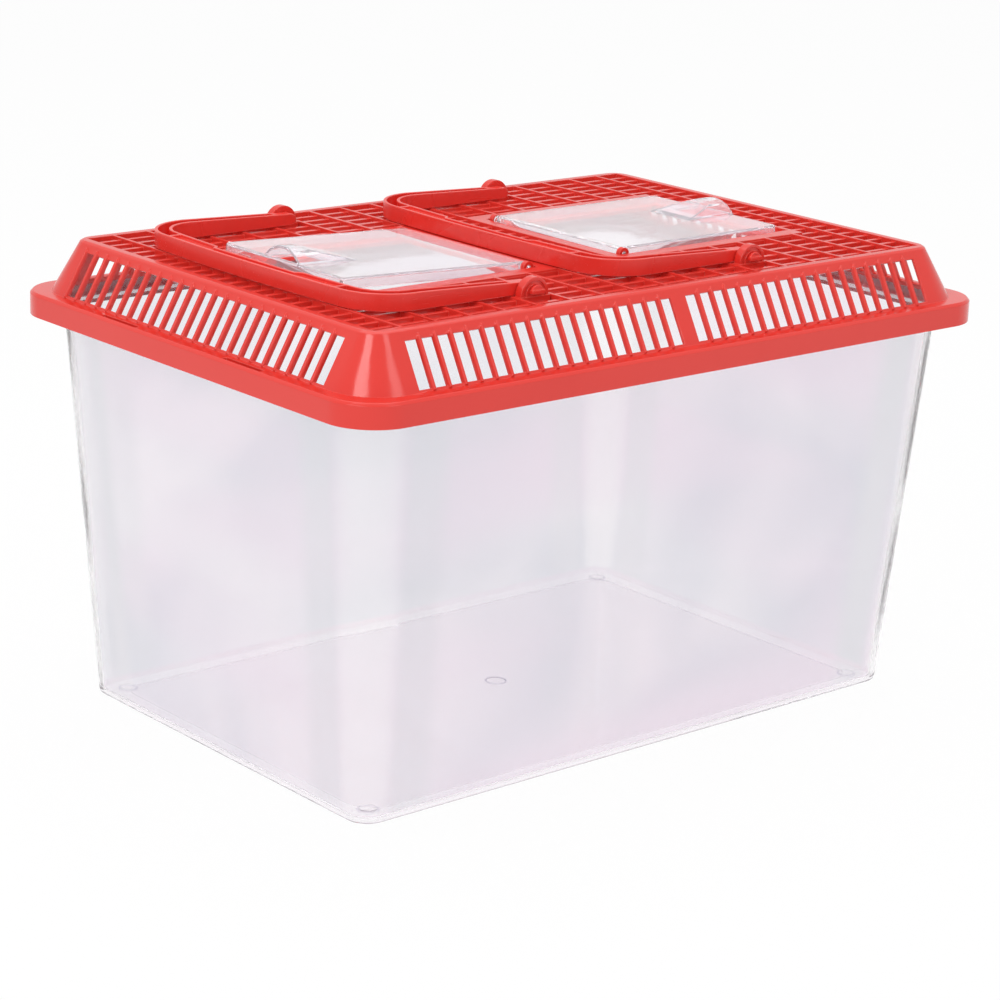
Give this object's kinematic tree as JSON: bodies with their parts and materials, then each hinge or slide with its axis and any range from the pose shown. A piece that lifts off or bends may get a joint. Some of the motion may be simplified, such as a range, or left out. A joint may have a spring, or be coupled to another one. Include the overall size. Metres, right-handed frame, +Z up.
{
  "type": "plastic aquarium",
  "caption": "Clear drafted plastic tank with a lift-off vented dome lid, two clear flap hatches and two folding bail handles.",
  "frame": {"origin": "centre of the bounding box at the plane that the tank's foot band stands on", "axes": "+X along the long side, with both handles folded towards -X; +Y towards the back long side; +Z up"},
  "size_m": [0.37, 0.256, 0.226],
  "materials": {
    "clear_tank": "clear moulded polystyrene, glossy",
    "red_lid": "opaque moulded polypropylene, satin gloss",
    "red_handle": "opaque moulded polypropylene, satin gloss",
    "clear_hatch": "clear moulded polystyrene, glossy"
  },
  "bodies": {
    "tank": {"tank": "clear_tank"},
    "lid": {"lid": "red_lid"},
    "handle_left": {"handle_left": "red_handle"},
    "handle_right": {"handle_right": "red_handle"},
    "hatch_left": {"hatch_left": "clear_hatch"},
    "hatch_right": {"hatch_right": "clear_hatch"}
  },
  "joints": [
    {"name": "lid_lift", "type": "slide", "parent": "tank", "child": "lid", "axis": [0, 0, 1], "range_m": [0, 0.12]},
    {"name": "handle_left_hinge", "type": "hinge", "parent": "lid", "child": "handle_left", "pos_m": [-0.0645, 0, 0.2169], "axis": [0, 1, 0], "range_deg": [0, 110]},
    {"name": "handle_right_hinge", "type": "hinge", "parent": "lid", "child": "handle_right", "pos_m": [0.0645, 0, 0.2169], "axis": [0, 1, 0], "range_deg": [0, 110]},
    {"name": "hatch_left_hinge", "type": "hinge", "parent": "lid", "child": "hatch_left", "pos_m": [-0.0285, 0, 0.2135], "axis": [0, 1, 0], "range_deg": [-2.3, 93]},
    {"name": "hatch_right_hinge", "type": "hinge", "parent": "lid", "child": "hatch_right", "pos_m": [0.0285, 0, 0.2135], "axis": [0, -1, 0], "range_deg": [0, 95]}
  ]
}
